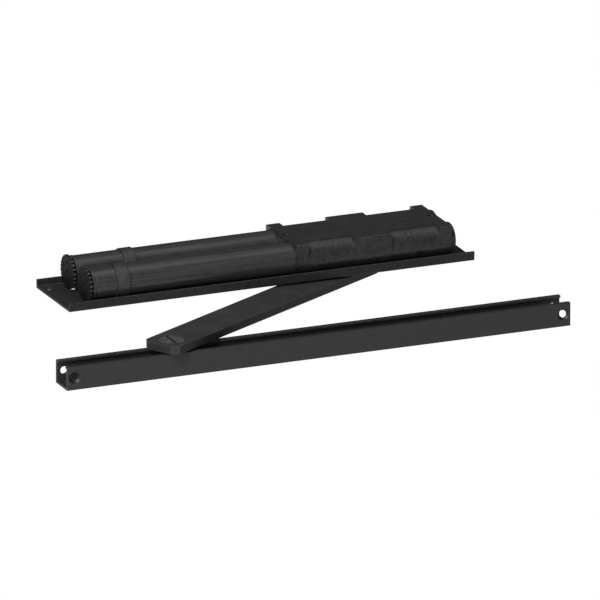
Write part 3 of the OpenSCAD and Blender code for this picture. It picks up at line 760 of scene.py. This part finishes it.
def buildCap(side, shape):
    node = side + "_adjusting_cap"
    low, high = placeOf(node)
    ringLow, ringHigh = placeOf(side + "_tube_ring")
    centre = (ringLow + ringHigh) / 2
    rimRadius, hub, spigot = shape["rimRadius"], shape["hub"], shape["spigot"]
    face = low.x
    back = face + shape["rimWidth"]
    step = face + shape["faceDepth"]
    hubEnd = ringLow.x - shape["hubGap"]
    cap = lathe([(face, shape["centreHole"]), (face, rimRadius), (back, rimRadius), (back, hub),
                 (hubEnd, hub), (hubEnd, spigot), (high.x, spigot), (high.x, shape["screwHole"]),
                 (step, shape["screwHole"]), (step, shape["centreHole"])],
                "X", (0, 0, 0), 120, closed=True)
    cuts = aroundCap(shape["notches"], face - past, back + shape["notchPast"],
                     shape["notchRadius"], rimRadius + shape["notchOut"], 20)
    cuts += aroundCap(shape["spannerHoles"], face - past, face + shape["spannerDepth"],
                      shape["spannerRadius"], shape["spannerAt"], 24)
    cap = combine(cap, cuts, "DIFFERENCE")
    soften(cap, shape["edge"], 2, 40)

    def onToothTop(place, normal):
        return place.yz.length > shape["toothTop"] and abs(normal.x) < 0.9

    def inSpannerHole(place, normal):
        return (face + near / 2 < place.x < face + shape["spannerDepth"] + near
                and place.yz.length < shape["spannerAt"] + shape["spannerRadius"] + near)

    def inNotch(place, normal):
        root = rimRadius - shape["notchRadius"] - 2 * near
        return face + near < place.x < back and root < place.yz.length < shape["toothTop"] - near

    def behindRim(place, normal):
        return back - near < place.x < ringLow.x and place.yz.length < rimRadius - 5 * near

    # the tooth tops are painted lighter: partly rubbed paint, partly a painted highlight where the
    # light from above and to the left catches them
    markFaces(cap, "rim", onToothTop)
    # the spanner holes, the notches and the hub behind the rim are painted dark as shade
    for chosen in (inSpannerHole, inNotch, behindRim):
        markFaces(cap, "crease", chosen)
    bmesh.ops.translate(cap, vec=(0, centre.y, centre.z), verts=cap.verts)
    finishPiece(side + "AdjustingCap", cap, capBlack, side + "_adjuster", node)


for side in ("front", "back"):
    buildCap(side, capShape)
print("caps built")


# end plugs

plugShape = {"round": 2, "recess": 5, "recessDepth": 1.5, "hole": 3, "shank": 14,
             "grooveAt": 1.4, "grooveWidth": 1.9, "grooveRadius": 12.2, "edge": 0.3}


def buildPlug(side, shape):
    node = side + "_end_plug"
    low, high = placeOf(node)
    centre = middleOf(node)
    casting = placeOf("housing")[1].x
    radius = (high.y - low.y) / 2
    curve = shape["round"]
    arc = [(high.x - curve + curve * math.cos(a), radius - curve + curve * math.sin(a))
           for a in [turn / 4 * (1 - i / 6) for i in range(7)]]
    grooveStart = low.x + shape["grooveAt"]
    grooveEnd = grooveStart + shape["grooveWidth"]
    profile = [(low.x, shape["hole"]), (low.x, shape["shank"]), (grooveStart, shape["shank"]),
               (grooveStart, shape["grooveRadius"]), (grooveEnd, shape["grooveRadius"]),
               (grooveEnd, shape["shank"]), (casting, shape["shank"]), (casting, radius), *arc,
               (high.x, shape["recess"]), (high.x - shape["recessDepth"], shape["recess"]),
               (high.x - shape["recessDepth"], shape["hole"])]
    plug = lathe(profile, "X", (0, centre.y, centre.z), tubeSteps, closed=True)
    soften(plug, shape["edge"], 2, 50)
    finishPiece(side + "EndPlug", plug, plugBlack, "closer", node)


for side in ("front", "back"):
    buildPlug(side, plugShape)
print("end plugs built")


# lever arm

armShape = {"width": 42, "chamfer": 6, "overhang": 19.5, "drive": 11.04, "screwWell": 9,
            "screwWellDepth": 2.6, "studWell": 13.15, "studWellDepth": 3, "studHole": 6,
            "hubSteps": 40, "edge": 0.35}


def buildArm(shape):
    # drawn along X from the pinion, then turned to point at the stud
    low, high = placeOf("arm")
    stud = middleOf("roller_bush")
    reach = Vector((stud.x - pinion.x, stud.y - pinion.y))
    angle = math.atan2(reach.y, reach.x)
    end = reach.length + shape["overhang"]
    half, drive, steps = shape["width"] / 2, shape["drive"] / 2, shape["hubSteps"]
    hubEnd = [(half * math.cos(a), half * math.sin(a))
              for a in [turn / 4 + turn / 2 * i / steps for i in range(steps + 1)]]
    arm = prism([(end, -half), (end, half)] + hubEnd, low.z, high.z - low.z, "Z",
                rounded=(0, 1), radius=shape["chamfer"], segments=1)
    square = box((-drive, -drive, low.z - past), (drive, drive, high.z + past))
    for drawn in (arm, square):
        turned(drawn, angle)
        bmesh.ops.translate(drawn, vec=(pinion.x, 0, 0), verts=drawn.verts)
    atStud = (stud.x, stud.y, 0)
    cuts = [square,
            rod(low.z - past, low.z + shape["screwWellDepth"], shape["screwWell"], "Z",
                (pinion.x, 0, 0), 64),
            rod(low.z - past, high.z + past, shape["studHole"], "Z", atStud),
            rod(high.z - shape["studWellDepth"], high.z + past, shape["studWell"], "Z", atStud,
                boreSteps)]
    arm = combine(arm, cuts, "DIFFERENCE")
    soften(arm, shape["edge"])
    finishPiece("leverArm", arm, armPaint, "lever", "arm")


buildArm(armShape)
print("arm built")


# stud, bush and roller at the arm's end

studShape = {"head": 13, "headDepth": 3, "domeDepth": 0.35, "domeWidth": 0.8, "slot": 2,
             "slotDepth": 2.1, "slotHalf": 20, "shank": 6, "collar": 8, "journal": 5,
             "groove": 4.2, "gap": 0.1, "edge": 0.25}
rollerShape = {"chamfer": 0.8, "bore": 7.05, "dish": 1.2, "dishInner": 8.6, "dishOuter": 10,
               "edge": 0.2}


def buildStud(shape):
    low, high = placeOf("roller_stud")
    stud = middleOf("roller_bush")
    armLow = placeOf("arm")[0].z
    collarLow = placeOf("roller_bush")[1].z + shape["gap"]
    headLow = high.z + shape["gap"] - shape["headDepth"]
    slotLow = high.z - shape["slotDepth"]
    clipLow, clipHigh = placeOf("stud_clip")
    half, reach = shape["slot"] / 2, shape["slotHalf"]
    body = lathe([(low.z, 0), (low.z, shape["journal"]), (clipLow.z, shape["journal"]),
                  (clipLow.z, shape["groove"]), (clipHigh.z, shape["groove"]),
                  (clipHigh.z, shape["journal"]), (collarLow, shape["journal"]),
                  (collarLow, shape["collar"]), (armLow, shape["collar"]),
                  (armLow, shape["shank"]), (headLow, shape["shank"]), (headLow, shape["head"]),
                  (high.z - shape["domeDepth"], shape["head"]),
                  (high.z, shape["head"] - shape["domeWidth"]), (high.z, 0)],
                 "Z", (stud.x, stud.y, 0))
    slot = box((stud.x - half, stud.y - reach, slotLow),
               (stud.x + half, stud.y + reach, high.z + past))
    body = combine(body, [slot], "DIFFERENCE")
    soften(body, shape["edge"], 2, 35)
    # the slot is painted dark as shade
    markFaces(body, "crease", lambda place, normal: abs(place.x - stud.x) < half + 3 * near
              and slotLow - near < place.z < high.z - near / 5)
    finishPiece("slottedStud", body, studSteel, "lever", "roller_stud")


def buildRoller(shape):
    low, high = placeOf("roller")
    centre = middleOf("roller")
    radius = (high.x - low.x) / 2
    bore, chamfer, dish = shape["bore"], shape["chamfer"], shape["dish"]
    inner, outer = shape["dishInner"], shape["dishOuter"]
    under = [(low.z, bore), (low.z, inner), (low.z + dish, inner), (low.z + dish, outer),
             (low.z, outer), (low.z, radius - chamfer), (low.z + chamfer, radius)]
    over = [(high.z - chamfer, radius), (high.z, radius - chamfer), (high.z, outer),
            (high.z - dish, outer), (high.z - dish, inner), (high.z, inner), (high.z, bore)]
    roller = lathe(under + over, "Z", (centre.x, centre.y, 0), closed=True)
    soften(roller, shape["edge"], 2, 35)
    finishPiece("trackRoller", roller, rollerNylon, "track_roller", "roller")


buildStud(studShape)
buildRoller(rollerShape)
print("stud and roller built")


# door track

trackShape = {"wall": 2.5, "slot": 20, "corner": 0.8, "holeRadius": 4, "holeInset": 8,
              "holeDrop": 11.7, "sinkRadius": 6.25, "sinkDepth": 2.25, "edge": 0.3,
              "holeEdge": 0.1}


def buildTrack(shape):
    low, high = placeOf("track")
    wall = shape["wall"]
    width = high.y - low.y
    centreY = (low.y + high.y) / 2
    lip = shape["slot"] / 2
    outline = [(low.y, low.z), (high.y, low.z), (high.y, high.z), (centreY + lip, high.z),
               (centreY + lip, high.z - wall), (high.y - wall, high.z - wall),
               (high.y - wall, low.z + wall), (low.y + wall, low.z + wall),
               (low.y + wall, high.z - wall), (centreY - lip, high.z - wall),
               (centreY - lip, high.z), (low.y, high.z)]
    track = prism(outline, low.x, high.x - low.x, rounded=(0, 1, 2, 11), radius=shape["corner"],
                  segments=4)
    holes = [Vector((x, high.z - shape["holeDrop"]))
             for x in (low.x + shape["holeInset"], high.x - shape["holeInset"])]
    cuts = []
    for hole in holes:
        drill = lathe([(-past, 0), (-past, shape["sinkRadius"]), (0, shape["sinkRadius"]),
                       (shape["sinkDepth"], shape["holeRadius"]),
                       (width + past, shape["holeRadius"]), (width + past, 0)], steps=64)
        turned(drill, turn / 4)
        bmesh.ops.translate(drill, vec=(hole.x, low.y, hole.y), verts=drill.verts)
        cuts.append(drill)
    soften(track, shape["edge"])
    track = combine(track, cuts, "DIFFERENCE")
    soften(track, shape["holeEdge"], 1, 40)
    # the countersinks are painted dark as shade
    markFaces(track, "crease", lambda place, normal: near / 2 < place.y - low.y
              < shape["sinkDepth"] and min((place.xz - hole).length for hole in holes)
              < shape["sinkRadius"])
    finishPiece("doorTrack", track, trackPaint, "door_track", "track")


buildTrack(trackShape)
print("track built")


# closing springs inside the tubes

springShape = {"wire": 2.2, "coil": 11, "turns": 18, "closedPitch": 4.62, "steps": 40,
               "wireSides": 12}


def buildSpring(side, shape):
    node = side + "_spring"
    low, high = placeOf(node)
    tube = middleOf(side + "_spring_tube")
    wire, closed, steps = shape["wire"], shape["closedPitch"], shape["steps"]
    pitch = (high.x - low.x - 2 * wire - 2 * closed) / (shape["turns"] - 2)
    bm = bmesh.new()
    bmesh.ops.create_circle(bm, cap_ends=True, segments=shape["wireSides"], radius=wire)
    bmesh.ops.rotate(bm, cent=(0, 0, 0), matrix=Matrix.Rotation(turn / 4, 3, "X"), verts=bm.verts)
    bmesh.ops.translate(bm, vec=(low.x + wire, 0, shape["coil"]), verts=bm.verts)
    grown = bm.faces[:]
    for turns, rise in ((1, closed), (shape["turns"] - 2, pitch), (1, closed)):
        result = bmesh.ops.spin(bm, geom=grown, cent=(0, 0, 0), axis=(1, 0, 0),
                                dvec=(rise / steps, 0, 0), angle=turn * turns,
                                steps=steps * turns, use_merge=False)
        grown = result["geom_last"]
    bmesh.ops.translate(bm, vec=(0, tube.y, tube.z), verts=bm.verts)
    finishPiece(side + "ClosingSpring", cleaned(bm), springSteel, "closer", node)


for side in ("front", "back"):
    buildSpring(side, springShape)
print("springs built")


# internal parts keep their own shapes and get a finish each

nodeFinishes = {
    "stud_steel": studSteel, "dark_screws": screwSteel, "bright_steel": brightSteel,
    "spring_steel": springSteel, "bearing_bronze": bearingBronze, "seal_rubber": sealRubber,
    "roller_plastic": rollerNylon, "channel_paint": channelPaint, "casting_paint": castingPaint,
    "tube_finish": tubePaint, "cap_finish": capBlack, "arm_paint": armPaint,
    "track_paint": trackPaint}

for part in frame["record"]["subparts"]:
    for materialSlot in frame["nodes"][part["node"]].material_slots:
        materialSlot.link = "OBJECT"
        materialSlot.material = nodeFinishes[part["material_slot"]]
print("internal parts finished")


# floor, lights and camera

stageSetup = {"floorDrop": 260, "floorHalf": 9000, "floorColour": 0.6, "floorRough": 0.9,
              "paper": 1.0, "skyLevel": 0.07}


def mixShaders(tree, place, factor, first, second):
    mix = addNode(tree, "ShaderNodeMixShader", place)
    for socket, value in zip(mix.inputs, (factor, first, second)):
        feed(tree, socket, value)
    return mix.outputs[0]


def buildFloor(setup):
    # seen directly the floor is plain white paper; from below it is clear
    low = Vector(cadBox[0]) / mm
    bm = bmesh.new()
    bmesh.ops.create_grid(bm, x_segments=1, y_segments=1, size=setup["floorHalf"] * mm)
    bmesh.ops.translate(bm, vec=(0, 0, (low.z - setup["floorDrop"]) * mm), verts=bm.verts)
    floor = toObject(bm, "studioFloor")
    material = bpy.data.materials.new("studio floor")
    material.use_nodes = True
    floor.data.materials.append(material)
    tree = material.node_tree
    shader = tree.nodes["Principled BSDF"]
    shader.inputs["Base Color"].default_value = (*grey(setup["floorColour"]), 1)
    shader.inputs["Roughness"].default_value = setup["floorRough"]
    shader.inputs["Specular IOR Level"].default_value = 0
    paper = addNode(tree, "ShaderNodeEmission", (0, 3))
    paper.inputs["Strength"].default_value = setup["paper"]
    clear = addNode(tree, "ShaderNodeBsdfTransparent", (2, 4))
    ray = addNode(tree, "ShaderNodeLightPath", (0, -4))
    side = addNode(tree, "ShaderNodeNewGeometry", (2, -2))
    seen = mixShaders(tree, (2, 0), ray.outputs["Is Camera Ray"], shader.outputs[0],
                      paper.outputs[0])
    mixed = mixShaders(tree, (4, 0), side.outputs["Backfacing"], seen, clear.outputs[0])
    feed(tree, tree.nodes["Material Output"].inputs["Surface"], mixed)


def buildSky(setup):
    # white to the camera and dim to every other ray
    world = bpy.data.worlds.new("studio")
    world.use_nodes = True
    tree = world.node_tree
    dim = tree.nodes["Background"]
    white = addNode(tree, "ShaderNodeBackground", (0, 2))
    for background, level in ((dim, setup["skyLevel"]), (white, 1)):
        background.inputs["Color"].default_value = (1, 1, 1, 1)
        background.inputs["Strength"].default_value = level
    ray = addNode(tree, "ShaderNodeLightPath", (-2, 0))
    sky = mixShaders(tree, (2, 0), ray.outputs["Is Camera Ray"], dim.outputs[0],
                     white.outputs[0])
    feed(tree, tree.nodes["World Output"].inputs["Surface"], sky)
    bpy.context.scene.world = world


lightSetup = {
    "keyBox": {"place": (-3.52, -2.86, 3.92), "size": (1.8, 1.8), "power": 560},
    "frontBox": {"place": (-2.2, -4.2, 0.6), "size": (3.0, 2.2), "power": 150},
    "topBox": {"place": (0, -0.4, 3.4), "size": (3.4, 2.4), "power": 40},
}


def addSoftbox(name, place, size, power):
    # a soft rectangle of light that faces the origin
    light = bpy.data.lights.new(name, "AREA")
    light.shape = "RECTANGLE"
    light.size, light.size_y = size
    light.energy = power
    softbox = bpy.data.objects.new(name, light)
    softbox.location = place
    softbox.rotation_euler = (-Vector(place)).to_track_quat("-Z", "Y").to_euler()
    softbox.visible_camera = False
    bpy.context.scene.collection.objects.link(softbox)


cameraSetup = {"lens": 1600, "sensor": 36, "azimuth": -22.945, "elevation": 17.85,
               "roll": 0.028, "target": (30.0, -43.75, -17.4), "aside": (-0.343, -0.667),
               "distance": 26712.5}


def addCamera(setup):
    azimuth = math.radians(setup["azimuth"])
    elevation = math.radians(setup["elevation"])
    roll = math.radians(setup["roll"])
    right = Vector((math.cos(azimuth), math.sin(azimuth), 0))
    back = Vector((math.sin(azimuth) * math.cos(elevation),
                   -math.cos(azimuth) * math.cos(elevation), math.sin(elevation)))
    up = back.cross(right)
    rolledRight = right * math.cos(roll) + up * math.sin(roll)
    rolledUp = up * math.cos(roll) - right * math.sin(roll)
    place = (Vector(setup["target"]) + back * setup["distance"]
             + rolledRight * setup["aside"][0] + rolledUp * setup["aside"][1]) * mm
    data = bpy.data.cameras.new("studioCamera")
    data.lens = setup["lens"]
    data.sensor_width = setup["sensor"]
    data.clip_end = 100
    data.dof.use_dof = False
    camera = bpy.data.objects.new("studioCamera", data)
    facing = Matrix((rolledRight, rolledUp, back)).transposed()
    camera.matrix_world = Matrix.Translation(place) @ facing.to_4x4()
    bpy.context.scene.collection.objects.link(camera)
    bpy.context.scene.camera = camera


buildFloor(stageSetup)
buildSky(stageSetup)
for name, light in lightSetup.items():
    addSoftbox(name, **light)
bpy.context.scene.view_settings.view_transform = "Standard"
addCamera(cameraSetup)
print("stage set")
